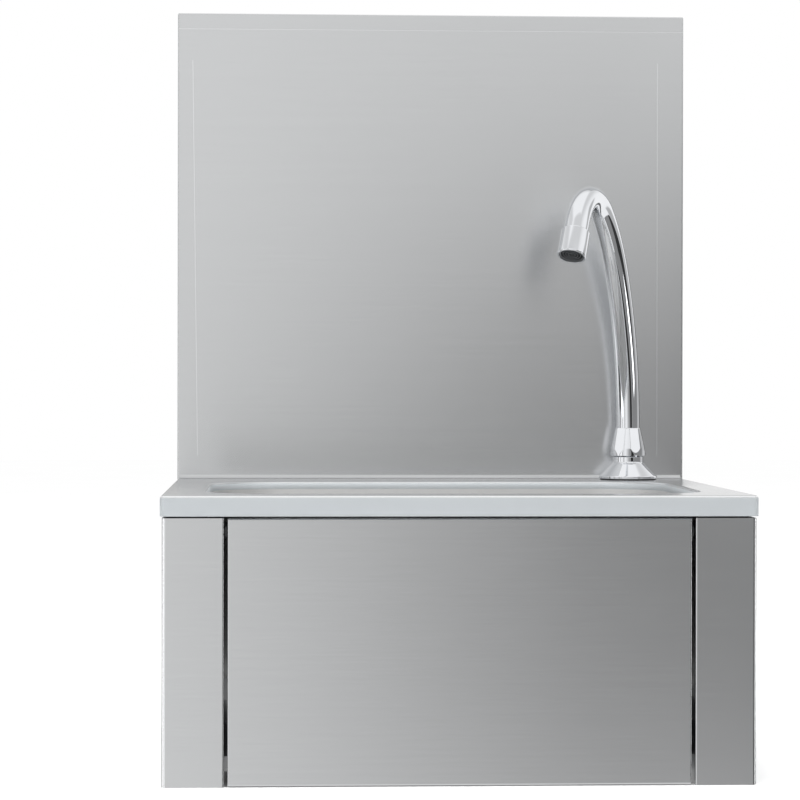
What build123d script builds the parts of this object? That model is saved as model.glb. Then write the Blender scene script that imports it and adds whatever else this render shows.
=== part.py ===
from build123d import *
import math
import os

# Knee-operated hand-wash sink in folded stainless steel sheet.
# Millimetres, +Z up, +X to the user's right, the user stands at -Y.
# The origin lies on the plane that the cabinet stands on, under the middle of the sink.

# ---- driving dimensions: cabinet ----
width = 400.0
depth = 340.0
height = 560.0
deck_z = 194.0
sheet = 1.0
lip_height = 14.0
lip_fold = 2.0  # the lip is hemmed, two layers thick
lip_corner = 3.0
body_inset = 1.2  # the cabinet stands this far inside the lip
shadow_gap = 1.2  # between the lip's lower edge and the cabinet front
lip_edge_radius = 2.2
bend = 0.6  # centreline radius of the folds beside the knee panel
corner_bend = 1.9  # centreline radius of the cabinet's upright corners

half_width = width / 2
half_depth = depth / 2
lip_z = deck_z - lip_height
under_deck_z = deck_z - sheet
cabinet_top_z = lip_z - shadow_gap
body_x = half_width - body_inset
front_y = -half_depth + sheet
back_y = half_depth
rear_plane_y = back_y - sheet  # front face of the back panel

# ---- splashback ----
splash_thickness = 2.6  # face sheet, hem gap and hem
hem_width = 12.5
hem_gap = 0.6
splash_y = back_y - splash_thickness
splash_cove = 3.0
score_depth = 0.25
score_width = 0.6
score_low_z = deck_z + 18
score_high_z = height - 37
score_right = 21.0  # distances in from the sheet's side edges
score_left_low = 15.5
score_left_high = 11.5

# ---- bowl ----
bowl_length = 340.0
bowl_depth_y = 244.0
bowl_centre_y = -16.0
bowl_corner = 50.0
bowl_floor_z = 59.0
bowl_draft = 3.0
bowl_floor_radius = 25.0
rim_roll = 5.0
bowl_joint_z = 188.0
recess_radius = 39.0
recess_depth = 3.0
waste_hole_radius = 23.5
waste_xy = (0.0, bowl_centre_y)

# ---- back panel, rails and flanges ----
bolt_spacing_x = 300.0
bolt_spacing_z = 110.0
bolt_centre_z = 100.0
bolt_hole_radius = 4.0
back_half_width = 197.5
back_top_gap = 0.5
foot_side = 15.0  # flanges that the cabinet stands on
foot_back = 14.0
foot_half_length = 176.0
rear_return = 20.0
rail = 1.2
rail_bottom_z = 164.0
rail_inner_x = 182.0
rail_y = (-150.0, 160.0)
front_rail_x = 180.0
front_rail_shelf = 16.0

# ---- knee panel and its hinge ----
post_width = 41.3
panel_gap = 2.4
post_inner_x = body_x - post_width
panel_x = post_inner_x - panel_gap
panel_bottom_z = 0.8
panel_top_z = cabinet_top_z - 0.2
post_return_y = front_y + 19.0
panel_return_y = front_y + 21.5
hinge_y = -158.0
hinge_z = 170.0
pin_radius = 3.0
pin_clearance = 0.05
bush_radius = 4.0
bush_flange_radius = 6.0
crossbar_half_length = 163.0
crossbar_half_height = 12.0
crossbar_sheet = 1.5
pad_peg_radius = 3.0
pad_radius = 13.0
pad_thickness = 4.0

# ---- valve, on an axis along Y ----
valve_x = 95.0
valve_z = 30.0
bracket_y = -95.0
bracket_sheet = 1.5
bracket_foot = 30.0
bracket_top_z = 50.0
bracket_notch = 21.0  # half width of the foot's cut-out under the inlet
bracket_screw_x = 190.0
bracket_screw_y = (bracket_y + 8, bracket_y + 22)
screw_radius = 2.5
valve_thread_radius = 11.0
bore_radius = 6.05
spool_radius = 6.0
inlet_y = -74.0
pipe_thread_radius = 10.48
inlet_bottom_z = 5.0
inlet_collar_z = 16.0
pad_gap = 0.3
hose_radius = 5.5
ferrule_length = 11.0

# ---- tap ----
tap_x = 153.0
tap_y = 142.0
spout_azimuth = 25.0  # degrees that the spout points left of straight forward
tap_hole_radius = 11.0
tube_radius = 9.0
tube_bore = 8.0
tube_end = 6.5  # the tube stops short of the outlet face, inside the aerator housing
tube_bottom = 31.4  # heights here are above the deck
spout_straight = 41.5
spout_bends = ((251.5, 29.0), (135.0, 24.5), (38.5, 99.5))
outlet_straight = 27.8
shank_length = 45.0
shank_radius = 10.45
shank_bore = 5.0
nut_bottom = 18.4
nut_top = 40.5
nut_low_radius = 13.6
nut_high_radius = 10.3
nut_band_top = 24.3  # the nut is round below this, and tapers above it
nut_flat_top = 9.55  # apothem of its six flats at the top edge
nut_turn = 19.4
aerator_radius = 10.7
aerator_length = 21.0

# ---- waste ----
strainer_floor_z = 50.0
strainer_holes = ((7.5, 6), (14.5, 12))  # ring radius, number of holes
strainer_hole_radius = 2.1
strainer_pocket_radius = 21.2
strainer_flange_radius = 36.0
waste_outlet_bottom_z = 6.0
waste_outlet_top_z = 24.0
waste_outlet_radius = 20.0
waste_outlet_bore = 17.5
waste_flange_radius = 37.0
gasket_thickness = 3.0
bridge_z = (38.0, 44.0)

os.makedirs("parts", exist_ok=True)


# ---- helpers that draw into the sub-part being built ----
def block(x, y, z, mode=Mode.ADD):
    """A block between the limits given for each axis."""
    with Locations((x[0], y[0], z[0])):
        Box(x[1] - x[0], y[1] - y[0], z[1] - z[0], align=Align.MIN, mode=mode)


def along(origin, direction):
    """A plane whose Y axis runs along the direction, for a turned outline."""
    run = Vector(direction).normalized()
    helper = Vector(0, 0, 1) if abs(run.X) > 0.9 else Vector(1, 0, 0)
    across = (helper - run * helper.dot(run)).normalized()
    return Plane(origin=origin, x_dir=across, z_dir=across.cross(run))


def turn(plane, outline, mode=Mode.ADD):
    """Turn an outline of (radius, distance) points about the plane's Y axis."""
    with BuildSketch(plane) as profile:
        with BuildLine():
            Polyline(*outline, close=True)
        make_face()
    revolve(profile.sketch, axis=Axis(plane.origin, plane.y_dir), mode=mode)


def hexagon(plane, across_flats, thickness, hole_radius):
    """A hexagon nut that stands on the plane, with a plain hole."""
    with BuildSketch(plane) as outline:
        RegularPolygon(across_flats / 2, 6, major_radius=False)
        Circle(hole_radius, mode=Mode.SUBTRACT)
    extrude(outline.sketch, amount=thickness)


def folded_wall(corners, radii, bottom, top):
    """A wall of sheet folded along a plan line, with one centreline radius for each bend."""
    with BuildLine() as plan:
        FilletPolyline(*corners, radius=radii)
    with BuildSketch(Plane.XY.offset(bottom)) as section:
        trace(plan.edges(), line_width=sheet)
    extrude(section.sketch, amount=top - bottom)


# ================= folded top =================
bowl_xy = Plane.XY.shift_origin((0, bowl_centre_y, 0))

with BuildPart() as worktop:
    # rim box, open at the back and below
    block((-half_width, half_width), (-half_depth, half_depth), (lip_z, deck_z))
    front_corners = worktop.edges().filter_by(Axis.Z).group_by(Axis.Y)[0]
    fillet(front_corners, radius=lip_corner)
    rim_top = worktop.faces().sort_by(Axis.Z)[-1].edges().sort_by(Axis.Y)[:-1]
    fillet(rim_top, radius=lip_edge_radius)
    lip_inner_x = half_width - lip_fold
    block((-lip_inner_x, lip_inner_x), (-half_depth + lip_fold, half_depth + 1), (lip_z - 1, under_deck_z),
          mode=Mode.SUBTRACT)
    # splashback with rounded edges
    with BuildSketch(Plane.XY.offset(under_deck_z)):
        with Locations((0, back_y - splash_thickness / 2)):
            RectangleRounded(width, splash_thickness, splash_thickness / 2 - 0.05)
    extrude(amount=height - under_deck_z)
    fillet(worktop.edges().group_by(Axis.Z)[-1], radius=splash_thickness / 2 - 0.1)
    # the back is open inside the hems, and each hem stands off the face sheet
    pocket_x = half_width - hem_width
    sheet_back_y = splash_y + sheet
    block((-pocket_x, pocket_x), (sheet_back_y, back_y + 1), (under_deck_z - 1, height - hem_width),
          mode=Mode.SUBTRACT)
    slot_x = half_width - sheet
    block((-slot_x, slot_x), (sheet_back_y, sheet_back_y + hem_gap), (deck_z, height - sheet),
          mode=Mode.SUBTRACT)
    # bend radius where the deck turns up into the splashback
    with BuildSketch(Plane.YZ.offset(-half_width + 2)):
        with BuildLine():
            Line((splash_y - splash_cove, deck_z), (splash_y, deck_z))
            Line((splash_y, deck_z), (splash_y, deck_z + splash_cove))
            RadiusArc((splash_y, deck_z + splash_cove), (splash_y - splash_cove, deck_z), splash_cove)
        make_face()
    extrude(amount=width - 4)
    # turned-down edge round the bowl opening
    with BuildSketch(bowl_xy.offset(bowl_joint_z)):
        RectangleRounded(bowl_length + 2 * sheet, bowl_depth_y + 2 * sheet, bowl_corner + sheet)
    extrude(amount=under_deck_z - bowl_joint_z)
    underside = worktop.faces().filter_by(Axis.Z).filter_by_position(
        Axis.Z, under_deck_z - 0.01, under_deck_z + 0.01)
    plug_edges = underside.edges().filter_by(
        lambda e: abs(e.center().X) <= bowl_length / 2 + sheet + 0.1
        and abs(e.center().Y - bowl_centre_y) <= bowl_depth_y / 2 + sheet + 0.1
        and e.length < bowl_length
        and e.bounding_box().max.Y < splash_y - 20)
    fillet(plug_edges, radius=rim_roll - sheet)
    with BuildSketch(bowl_xy.offset(bowl_joint_z - 1)):
        RectangleRounded(bowl_length, bowl_depth_y, bowl_corner)
    extrude(amount=deck_z - bowl_joint_z + 1, mode=Mode.SUBTRACT)
    opening_edges = worktop.edges().filter_by(
        lambda e: abs(e.center().Z - deck_z) < 0.01
        and abs(e.center().X) <= bowl_length / 2 + 0.1
        and abs(e.center().Y - bowl_centre_y) <= bowl_depth_y / 2 + 0.1
        and e.bounding_box().max.Y < splash_y - 20)
    fillet(opening_edges, radius=rim_roll)
    # tap hole
    with Locations((tap_x, tap_y, deck_z)):
        Hole(radius=tap_hole_radius, depth=sheet)
    # fold lines pressed into the splashback face
    score_y = (splash_y - 1, splash_y + score_depth)
    block((-half_width, half_width), score_y, (height - hem_width, height - hem_width + score_width),
          mode=Mode.SUBTRACT)
    right_line_x = half_width - score_right
    block((right_line_x, right_line_x + score_width), score_y, (score_low_z, score_high_z),
          mode=Mode.SUBTRACT)
    with BuildSketch(Plane.XZ.offset(-splash_y - score_depth)):
        with BuildLine():
            low_x = -half_width + score_left_low
            high_x = -half_width + score_left_high
            Polyline((high_x, score_high_z), (low_x, score_low_z), (low_x + score_width, score_low_z),
                     (high_x + score_width, score_high_z), close=True)
        make_face()
    extrude(amount=1 + score_depth, mode=Mode.SUBTRACT)

worktop.part.label = "worktop"
export_step(worktop.part, "parts/worktop.step")


def bowl_form(grow):
    """The drawn bowl as a solid form, larger all round by the given amount."""
    with BuildPart() as form:
        with BuildSketch(bowl_xy.offset(bowl_joint_z)):
            RectangleRounded(bowl_length + 2 * grow, bowl_depth_y + 2 * grow, bowl_corner + grow)
        extrude(amount=bowl_floor_z - grow - bowl_joint_z, taper=bowl_draft)
        fillet(form.edges().group_by(Axis.Z)[0], radius=bowl_floor_radius + grow)
    return form.part


bowl_outside = bowl_form(sheet)
bowl_inside = bowl_form(0)

with BuildPart() as bowl:
    add(bowl_outside)
    with Locations((*waste_xy, bowl_floor_z - recess_depth - sheet)):
        Cylinder(recess_radius + sheet, recess_depth + sheet, align=(Align.CENTER, Align.CENTER, Align.MIN))
    add(bowl_inside, mode=Mode.SUBTRACT)
    # waste recess and hole
    with Locations((*waste_xy, bowl_floor_z)):
        Hole(radius=recess_radius, depth=recess_depth)
        Hole(radius=waste_hole_radius)
    recess_edges = bowl.edges().filter_by(GeomType.CIRCLE).filter_by_position(
        Axis.Z, bowl_floor_z - 0.01, bowl_floor_z + 0.01)
    fillet(recess_edges, radius=1.5)

bowl.part.label = "bowl"
export_step(bowl.part, "parts/bowl.step")

# ================= cabinet =================
skin_x = body_x - sheet / 2  # middle of the side sheet
skin_front_y = front_y + sheet / 2
rear_return_y = rear_plane_y - sheet / 2

for side, name in ((-1, "left"), (1, "right")):
    with BuildPart() as side_panel:
        folded_wall(
            [(side * (post_inner_x + sheet / 2), post_return_y),
             (side * (post_inner_x + sheet / 2), skin_front_y),
             (side * skin_x, skin_front_y), (side * skin_x, rear_return_y),
             (side * (skin_x - rear_return), rear_return_y)],
            (bend, corner_bend, corner_bend), 0, cabinet_top_z)
        # flange that the cabinet stands on, relieved at the corners
        side_strip = sorted((side * skin_x, side * (skin_x - foot_side)))
        block(side_strip, (skin_front_y + corner_bend, rear_return_y - corner_bend), (0, sheet))
        post_strip = sorted((side * (skin_x - corner_bend), side * (post_inner_x + sheet / 2)))
        block(post_strip, (skin_front_y, skin_front_y + foot_side), (0, sheet))
        # holes for the hinge pin and for the valve bracket's screws
        with Locations(Plane(origin=(side * post_inner_x, hinge_y, hinge_z), z_dir=(1, 0, 0))):
            Cylinder(pin_radius + 0.1, 6, mode=Mode.SUBTRACT)
        for screw_y in bracket_screw_y:
            with Locations((side * bracket_screw_x, screw_y, 0)):
                Cylinder(screw_radius + 0.1, 4, mode=Mode.SUBTRACT)
    side_panel.part.label = f"{name}_side_panel"
    export_step(side_panel.part, f"parts/{name}_side_panel.step")

with BuildPart() as back_panel:
    block((-back_half_width, back_half_width), (rear_plane_y, back_y), (0, under_deck_z - back_top_gap))
    block((-foot_half_length, foot_half_length), (rear_plane_y - foot_back, rear_plane_y), (0, sheet))
    with Locations(Plane(origin=(0, rear_plane_y, bolt_centre_z), x_dir=(1, 0, 0), z_dir=(0, 1, 0))):
        with GridLocations(bolt_spacing_x, bolt_spacing_z, 2, 2):
            Cylinder(bolt_hole_radius, 6, mode=Mode.SUBTRACT)

back_panel.part.label = "back_panel"
export_step(back_panel.part, "parts/back_panel.step")

# angle rails under the deck
for side, name in ((-1, "left"), (1, "right")):
    with BuildPart() as deck_rail:
        leg = sorted((side * (skin_x - sheet / 2), side * (skin_x - sheet / 2 - rail)))
        shelf = sorted((side * (skin_x - sheet / 2), side * rail_inner_x))
        block(leg, rail_y, (rail_bottom_z, under_deck_z))
        block(shelf, rail_y, (under_deck_z - rail, under_deck_z))
    deck_rail.part.label = f"{name}_deck_rail"
    export_step(deck_rail.part, f"parts/{name}_deck_rail.step")

with BuildPart() as front_deck_rail:
    lip_back_y = -half_depth + lip_fold
    span = (-front_rail_x, front_rail_x)
    block(span, (lip_back_y, lip_back_y + rail), (lip_z + 1, under_deck_z))
    block(span, (lip_back_y, lip_back_y + front_rail_shelf), (under_deck_z - rail, under_deck_z))

front_deck_rail.part.label = "front_deck_rail"
export_step(front_deck_rail.part, "parts/front_deck_rail.step")

# ================= knee panel =================
panel_skin_x = panel_x - sheet / 2
panel_span = (-panel_skin_x, panel_skin_x)
panel_edge = 0.9  # size of the rounded-off front edges
crossbar_z = (valve_z - crossbar_half_height, valve_z + crossbar_half_height)
crossbar_y = (panel_return_y, panel_return_y + crossbar_sheet)

with BuildPart() as knee_panel:
    folded_wall(
        [(-panel_skin_x, panel_return_y), (-panel_skin_x, skin_front_y),
         (panel_skin_x, skin_front_y), (panel_skin_x, panel_return_y)],
        (bend, bend), panel_bottom_z, panel_top_z)
    block(panel_span, (skin_front_y, front_y + 12), (panel_top_z - sheet, panel_top_z))
    block(panel_span, (skin_front_y, front_y + 14), (panel_bottom_z, panel_bottom_z + sheet))
    # the panel's front edges at top and bottom are folded, so they are rounded
    with BuildSketch(Plane.YZ.offset(-panel_x)) as sharp_edge:
        for edge_z, inward in ((panel_top_z, -1), (panel_bottom_z, 1)):
            with BuildLine():
                Polyline((front_y, edge_z), (front_y + panel_edge, edge_z),
                         (front_y, edge_z + inward * panel_edge), close=True)
            make_face()
    extrude(sharp_edge.sketch, amount=2 * panel_x, mode=Mode.SUBTRACT)
    with Locations(Plane(origin=(0, hinge_y, hinge_z), z_dir=(1, 0, 0))):
        Cylinder(bush_radius, 2 * panel_x + 2, mode=Mode.SUBTRACT)

knee_panel.part.label = "knee_panel"
export_step(knee_panel.part, "parts/knee_panel.step")

with BuildPart() as knee_crossbar:
    block((-crossbar_half_length, crossbar_half_length), crossbar_y, crossbar_z)
    panel_inner_x = panel_x - sheet
    for side in (-1, 1):
        tab = sorted((side * panel_inner_x, side * (panel_inner_x - crossbar_sheet)))
        block(tab, (panel_return_y - 12, panel_return_y), crossbar_z)
    with Locations(Plane(origin=(valve_x, crossbar_y[0], valve_z), z_dir=(0, 1, 0))):
        Cylinder(pad_peg_radius + 0.1, 6, mode=Mode.SUBTRACT)

knee_crossbar.part.label = "knee_crossbar"
export_step(knee_crossbar.part, "parts/knee_crossbar.step")

valve_axis = along((valve_x, 0, valve_z), (0, 1, 0))
pad_back_y = crossbar_y[1] + pad_thickness
pad_snap_radius = pad_peg_radius + 1.2
with BuildPart() as push_pad:
    turn(valve_axis,
         [(0, crossbar_y[0] - 2), (pad_snap_radius, crossbar_y[0] - 2), (pad_snap_radius, crossbar_y[0]),
          (pad_peg_radius, crossbar_y[0]), (pad_peg_radius, crossbar_y[1]), (pad_radius, crossbar_y[1]),
          (pad_radius, pad_back_y - 1), (pad_radius - 1, pad_back_y), (0, pad_back_y)])

push_pad.part.label = "push_pad"
export_step(push_pad.part, "parts/push_pad.step")

# hinge bushes ride in the panel, the pins are fixed in the posts
with BuildPart() as hinge_bushes:
    bush_bore = pin_radius + pin_clearance
    for side in (-1, 1):
        turn(along((side * panel_x, hinge_y, hinge_z), (side, 0, 0)),
             [(bush_bore, -4.5), (bush_radius, -4.5), (bush_radius, 0), (bush_flange_radius, 0),
              (bush_flange_radius, panel_gap - 0.5), (bush_bore, panel_gap - 0.5)])

hinge_bushes.part.label = "hinge_bushes"
export_step(hinge_bushes.part, "parts/hinge_bushes.step")

groove_radius = 2.4
groove_start = panel_gap + 4.7  # measured inwards from the post's inner face
pin_end = groove_start + 2.6
with BuildPart() as hinge_pins:
    for side in (-1, 1):
        turn(along((side * post_inner_x, hinge_y, hinge_z), (-side, 0, 0)),
             [(0, -3.6), (4.2, -3.6), (5, -3), (5, -1), (pin_radius, -1), (pin_radius, groove_start),
              (groove_radius, groove_start), (groove_radius, groove_start + 0.9),
              (pin_radius, groove_start + 0.9), (pin_radius, pin_end - 0.6), (pin_radius - 0.6, pin_end),
              (0, pin_end)])

hinge_pins.part.label = "hinge_pins"
export_step(hinge_pins.part, "parts/hinge_pins.step")

with BuildPart() as hinge_clips:
    for side in (-1, 1):
        clip_plane = along((side * post_inner_x, hinge_y, hinge_z), (-side, 0, 0))
        turn(clip_plane, [(groove_radius, groove_start + 0.05), (5.5, groove_start + 0.05),
                          (5.5, groove_start + 0.85), (groove_radius, groove_start + 0.85)])
        clip_x = sorted((side * (post_inner_x - groove_start), side * (post_inner_x - groove_start - 0.9)))
        block(clip_x, (hinge_y - 1.6, hinge_y + 1.6), (hinge_z - 7, hinge_z), mode=Mode.SUBTRACT)

hinge_clips.part.label = "hinge_clips"
export_step(hinge_clips.part, "parts/hinge_clips.step")

# rubber channels on the posts' inner edges, where the crossbar rests
with BuildPart() as stop_bumpers:
    for side in (-1, 1):
        outer = sorted((side * (post_inner_x - 1.5), side * (post_inner_x + sheet + 1.5)))
        slot = sorted((side * post_inner_x, side * (post_inner_x + sheet)))
        block(outer, (post_return_y - 4, panel_return_y - 0.1), (valve_z - 9, valve_z + 9))
        block(slot, (post_return_y - 5, post_return_y), (valve_z - 10, valve_z + 10), mode=Mode.SUBTRACT)

stop_bumpers.part.label = "stop_bumpers"
export_step(stop_bumpers.part, "parts/stop_bumpers.step")

# ================= valve =================
inlet_axis = along((valve_x, inlet_y, 0), (0, 0, 1))

with BuildPart() as valve_bracket:
    bracket_x = skin_x - sheet / 2
    block((-bracket_x, bracket_x), (bracket_y, bracket_y + bracket_foot), (sheet, sheet + bracket_sheet))
    block((-bracket_x, bracket_x), (bracket_y, bracket_y + bracket_sheet), (sheet, bracket_top_z))
    with Locations(Plane(origin=(valve_x, bracket_y, valve_z), z_dir=(0, 1, 0))):
        Cylinder(valve_thread_radius + 0.2, 8, mode=Mode.SUBTRACT)
    # the foot is cut away where the supply comes up to the inlet
    block((valve_x - bracket_notch, valve_x + bracket_notch),
          (bracket_y + bracket_sheet, bracket_y + bracket_foot + 1), (0, sheet + bracket_sheet),
          mode=Mode.SUBTRACT)
    for screw_y in bracket_screw_y:
        with Locations((-bracket_screw_x, screw_y, sheet), (bracket_screw_x, screw_y, sheet)):
            Cylinder(screw_radius + 0.2, 8, mode=Mode.SUBTRACT)

valve_bracket.part.label = "valve_bracket"
export_step(valve_bracket.part, "parts/valve_bracket.step")

with BuildPart() as bracket_screws:
    foot_top_z = sheet + bracket_sheet
    for screw_x in (-bracket_screw_x, bracket_screw_x):
        for screw_y in bracket_screw_y:
            with BuildSketch(Plane(origin=(screw_x, screw_y, foot_top_z))):
                RegularPolygon(4, 6, major_radius=False)
            extrude(amount=3.2)
            with Locations((screw_x, screw_y, 0.3)):
                Cylinder(screw_radius, foot_top_z - 0.3, align=(Align.CENTER, Align.CENTER, Align.MIN))

bracket_screws.part.label = "bracket_screws"
export_step(bracket_screws.part, "parts/bracket_screws.step")

front = bracket_y - 9
outlet_end_y = -28.0
outlet_radius = 8.0
with BuildPart() as valve_body:
    turn(valve_axis,
         [(0, front), (valve_thread_radius, front), (valve_thread_radius, bracket_y + bracket_sheet),
          (14, bracket_y + bracket_sheet), (14, bracket_y + 8), (12, bracket_y + 9), (12, -44), (11, -41),
          (outlet_radius, -41), (outlet_radius, outlet_end_y), (0, outlet_end_y)])
    # inlet spigot below, with a shoulder for the union nut's washer
    turn(inlet_axis,
         [(0, inlet_bottom_z), (pipe_thread_radius, inlet_bottom_z), (pipe_thread_radius, inlet_collar_z),
          (12.5, inlet_collar_z), (12.5, inlet_collar_z + 3), (11, inlet_collar_z + 4), (11, valve_z),
          (0, valve_z)])
    # spool bore, rear chamber and outlet
    turn(valve_axis,
         [(0, front - 1), (bore_radius, front - 1), (bore_radius, -58), (8.5, -58), (8.5, -44), (4, -42),
          (4, outlet_end_y + 1), (0, outlet_end_y + 1)], mode=Mode.SUBTRACT)
    turn(inlet_axis,
         [(0, inlet_bottom_z - 1), (7, inlet_bottom_z - 1), (7, inlet_collar_z), (4.5, inlet_collar_z + 3),
          (4.5, valve_z), (0, valve_z)], mode=Mode.SUBTRACT)

valve_body.part.label = "valve_body"
export_step(valve_body.part, "parts/valve_body.step")

lock_nut_thickness = 5.0
with BuildPart() as valve_lock_nut:
    hexagon(Plane(origin=(valve_x, bracket_y, valve_z), x_dir=(1, 0, 0), z_dir=(0, -1, 0)),
            28, lock_nut_thickness, valve_thread_radius + 0.05)

valve_lock_nut.part.label = "valve_lock_nut"
export_step(valve_lock_nut.part, "parts/valve_lock_nut.step")

bonnet_front = front - 6
bonnet_back = bracket_y - lock_nut_thickness - 0.2
stem_radius = 4.0
with BuildPart() as valve_bonnet:
    turn(valve_axis,
         [(stem_radius + 0.05, bonnet_front), (12, bonnet_front), (13, bonnet_front + 1), (13, bonnet_back),
          (valve_thread_radius + 0.05, bonnet_back), (valve_thread_radius + 0.05, front),
          (stem_radius + 0.05, front)])

valve_bonnet.part.label = "valve_bonnet"
export_step(valve_bonnet.part, "parts/valve_bonnet.step")

tip_y = pad_back_y + pad_gap
cap_back_y = tip_y + 4.2
ring_floor = 4.6  # groove radius under the spool's rings
ring_half_groove = 1.2
ring_ys = (-97.0, -62.5)
with BuildPart() as valve_plunger:
    turn(valve_axis,
         [(0, tip_y), (3.5, tip_y + 0.5), (6, tip_y + 1.6), (8, tip_y + 3), (8, cap_back_y),
          (stem_radius, cap_back_y), (stem_radius, -100), (spool_radius, -100), (spool_radius, -94),
          (3, -93), (3, -67), (spool_radius, -66), (spool_radius, -59.5), (0, -59.5)])
    for ring_y in ring_ys:
        turn(valve_axis,
             [(ring_floor, ring_y - ring_half_groove), (spool_radius + 1, ring_y - ring_half_groove),
              (spool_radius + 1, ring_y + ring_half_groove), (ring_floor, ring_y + ring_half_groove)],
             mode=Mode.SUBTRACT)

valve_plunger.part.label = "valve_plunger"
export_step(valve_plunger.part, "parts/valve_plunger.step")

ring_section = 0.69
with BuildPart() as plunger_rings:
    for ring_y in ring_ys:
        with Locations(Plane(origin=(valve_x, ring_y, valve_z), z_dir=(0, 1, 0))):
            Torus(ring_floor + ring_section, ring_section)

plunger_rings.part.label = "plunger_rings"
export_step(plunger_rings.part, "parts/plunger_rings.step")

spring_wire = 0.8
spring_turns = 6
spring_radius = 6.2
spring_front = cap_back_y + spring_wire
spring_length = bonnet_front - spring_wire - spring_front
with BuildPart() as valve_spring:
    with BuildLine() as coil:
        Helix(pitch=spring_length / spring_turns, height=spring_length, radius=spring_radius,
              center=(valve_x, spring_front, valve_z), direction=(0, 1, 0))
    with BuildSketch(Plane(origin=coil.line @ 0, z_dir=coil.line % 0)):
        Circle(spring_wire)
    sweep(path=coil.line, is_frenet=True)

valve_spring.part.label = "valve_spring"
export_step(valve_spring.part, "parts/valve_spring.step")

# ================= supply hose from the valve to the tap =================
shank_bottom_z = deck_z - shank_length
hose_start_y = -10.0
hose_top_z = shank_bottom_z - 30
hose_route = [(valve_x, hose_start_y, valve_z), (valve_x, 60, valve_z),
              (tap_x, tap_y, valve_z + 2), (tap_x, tap_y, hose_top_z)]
hose_radii = []
for before, corner, after in zip(hose_route, hose_route[1:], hose_route[2:]):
    run_in = Vector(*corner) - Vector(*before)
    run_out = Vector(*after) - Vector(*corner)
    half_turn = math.radians(run_in.get_angle(run_out)) / 2
    hose_radii.append(0.45 * min(run_in.length, run_out.length) / math.tan(half_turn))

with BuildPart() as supply_hose:
    with BuildLine() as hose_line:
        FilletPolyline(*hose_route, radius=hose_radii)
    with BuildSketch(Plane(origin=hose_route[0], z_dir=(0, 1, 0))):
        Circle(hose_radius)
    sweep(path=hose_line.wire())

supply_hose.part.label = "supply_hose"
export_step(supply_hose.part, "parts/supply_hose.step")
hose_length = hose_line.wire().length
hose_section = math.pi * hose_radius**2
print("hose length", round(hose_length, 1), "bend radii", [round(r, 1) for r in hose_radii],
      "volume ratio", round(supply_hose.part.volume / (hose_section * hose_length), 4))

# a crimped ferrule and a union nut at each end of the hose
with BuildPart() as hose_ferrules:
    ferrule = [(0, 0), (6.6, 0), (7, 0.6), (7, ferrule_length - 1), (6.4, ferrule_length),
               (0, ferrule_length)]
    turn(along(hose_route[0], (0, -1, 0)), ferrule)
    turn(along(hose_route[-1], (0, 0, 1)), ferrule)

hose_ferrules.part.label = "hose_ferrules"
export_step(hose_ferrules.part, "parts/hose_ferrules.step")

with BuildPart() as hose_nuts:
    valve_nut_y = hose_start_y - ferrule_length
    with BuildSketch(Plane(origin=(valve_x, valve_nut_y, valve_z), x_dir=(1, 0, 0), z_dir=(0, -1, 0))):
        RegularPolygon(11, 6, major_radius=False)
    extrude(amount=18)
    turn(valve_axis,
         [(0, outlet_end_y), (outlet_radius + 0.05, outlet_end_y), (outlet_radius + 0.05, outlet_end_y - 17),
          (0, outlet_end_y - 17)], mode=Mode.SUBTRACT)
    with BuildSketch(Plane(origin=(tap_x, tap_y, hose_top_z + ferrule_length))):
        RegularPolygon(13, 6, major_radius=False)
    extrude(amount=27)
    turn(along((tap_x, tap_y, shank_bottom_z), (0, 0, 1)),
         [(0, 0), (shank_radius + 0.1, 0), (shank_radius + 0.1, 20), (0, 20)], mode=Mode.SUBTRACT)

hose_nuts.part.label = "hose_nuts"
export_step(hose_nuts.part, "parts/hose_nuts.step")

# ================= tap =================
tap_axis = along((tap_x, tap_y, deck_z), (0, 0, 1))

with BuildPart() as base_gasket:
    turn(tap_axis, [(10.6, 0), (21.8, 0), (21.8, 1), (10.6, 1)])

base_gasket.part.label = "base_gasket"
export_step(base_gasket.part, "parts/base_gasket.step")

with BuildPart() as tap_base:
    turn(tap_axis,
         [(shank_radius, -shank_length), (shank_radius, 1), (22.6, 1), (22.7, 2.6), (22.4, 3.2), (21.6, 3.9),
          (12.4, 13.1), (11.9, 13.7), (11.85, 14.2), (11.85, 17.8), (11.5, 18.2), (9.5, 18.2), (9.5, 28.9),
          (7.1, 28.9), (7.1, 12), (shank_bore, 10), (shank_bore, -shank_length)])

tap_base.part.label = "tap_base"
export_step(tap_base.part, "parts/tap_base.step")

nut_slope = (nut_low_radius - nut_high_radius) / (nut_top - nut_band_top)
nut_flat_bottom = nut_flat_top + nut_slope * (nut_top - nut_bottom)
tube_running_radius = tube_radius + 0.08
with BuildPart() as swivel_nut:
    turn(tap_axis, [(0, nut_bottom), (nut_low_radius - 0.5, nut_bottom), (nut_low_radius, nut_bottom + 0.5),
                    (nut_low_radius, nut_band_top), (nut_high_radius + 0.1, nut_top - 0.5),
                    (nut_high_radius - 0.4, nut_top), (0, nut_top)])
    # six flats that follow the taper and run out in the round band below
    with BuildSketch(Plane(origin=(tap_x, tap_y, deck_z + nut_bottom))):
        RegularPolygon(nut_flat_bottom, 6, major_radius=False, rotation=nut_turn)
    extrude(amount=nut_top - nut_bottom, taper=math.degrees(math.atan(nut_slope)), mode=Mode.INTERSECT)
    turn(tap_axis, [(0, nut_bottom - 1), (9.6, nut_bottom - 1), (9.6, 31.6), (tube_running_radius, 31.6),
                    (tube_running_radius, nut_top + 1), (0, nut_top + 1)], mode=Mode.SUBTRACT)

swivel_nut.part.label = "swivel_nut"
export_step(swivel_nut.part, "parts/swivel_nut.step")

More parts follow.
